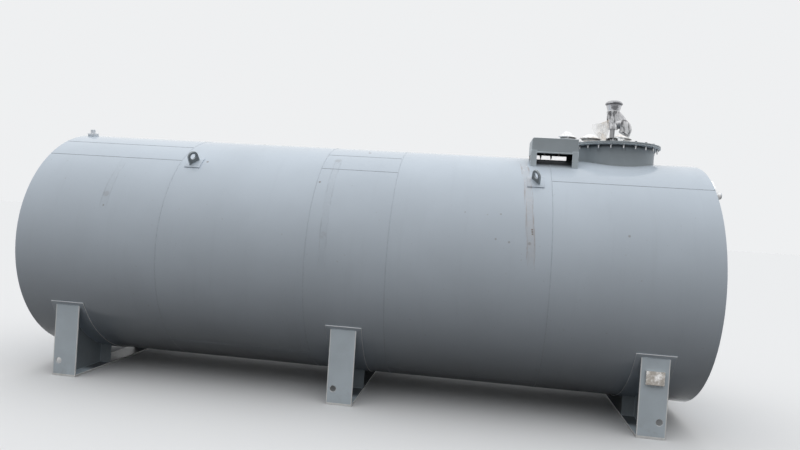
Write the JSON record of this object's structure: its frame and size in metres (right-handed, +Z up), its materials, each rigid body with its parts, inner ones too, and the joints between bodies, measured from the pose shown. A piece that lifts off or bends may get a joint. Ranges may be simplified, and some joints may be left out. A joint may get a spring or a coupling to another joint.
{
  "type": "horizontal cylindrical storage tank on three saddles",
  "caption": "Horizontal steel storage tank, pale blue-grey, flat ends, plate saddles, lifting lugs, bolted manhole with film-wrapped nozzles, breather and a small connection hood.",
  "frame": {"origin": "middle of the underside of the middle saddle's base plate, on the ground", "axes": "+X along the tank towards the manhole end, +Y from the side with the hood front towards the far side, +Z up"},
  "size_m": [6.7133, 2.3996, 3.168],
  "materials": {
    "shell_paint": "glossy pale blue-grey enamel over welded steel plate",
    "frame_paint": "semi-gloss blue-grey enamel",
    "stainless": "bright, partly dulled stainless steel",
    "gasket_rubber": "black, matt",
    "white_film": "crumpled white packing film",
    "clear_film": "thin clear stretch film"
  },
  "bodies": {
    "root": {"head_left": "shell_paint", "head_right": "shell_paint", "shell_course_1": "shell_paint", "shell_course_2": "shell_paint", "shell_course_3": "shell_paint", "shell_course_4": "shell_paint", "shell_course_5": "shell_paint", "wear_pad_left": "shell_paint", "wear_pad_middle": "shell_paint", "wear_pad_right": "shell_paint", "base_plate_left": "frame_paint", "base_plate_middle": "frame_paint", "base_plate_right": "frame_paint", "end_plates_left": "frame_paint", "end_plates_middle": "frame_paint", "end_plates_right": "frame_paint", "webs_left": "frame_paint", "webs_middle": "frame_paint", "webs_right": "frame_paint", "stiffeners_left": "frame_paint", "stiffeners_middle": "frame_paint", "stiffeners_right": "frame_paint", "lug_doublers": "shell_paint", "lifting_lugs": "shell_paint", "manhole_neck": "frame_paint", "manhole_flange": "frame_paint", "manhole_gasket": "gasket_rubber", "manhole_cover": "frame_paint", "nozzle_a": "shell_paint", "nozzle_b": "shell_paint", "nozzle_c": "shell_paint", "nozzle_blinds": "shell_paint", "nozzle_wrap_a": "white_film", "nozzle_wrap_b": "white_film", "nozzle_wrap_c": "white_film", "breather_riser": "stainless", "breather_clamp": "gasket_rubber", "breather_body": "stainless", "breather_elbow": "stainless", "breather_cup": "stainless", "breather_wrap": "clear_film", "hood_cap": "frame_paint", "hood_posts": "frame_paint", "hood_walls": "frame_paint", "hood_rail": "white_film", "plate_holder": "stainless", "name_plate": "stainless", "top_boss": "shell_paint", "end_nipple": "shell_paint", "end_nipple_wrap": "white_film"}
  },
  "joints": []
}
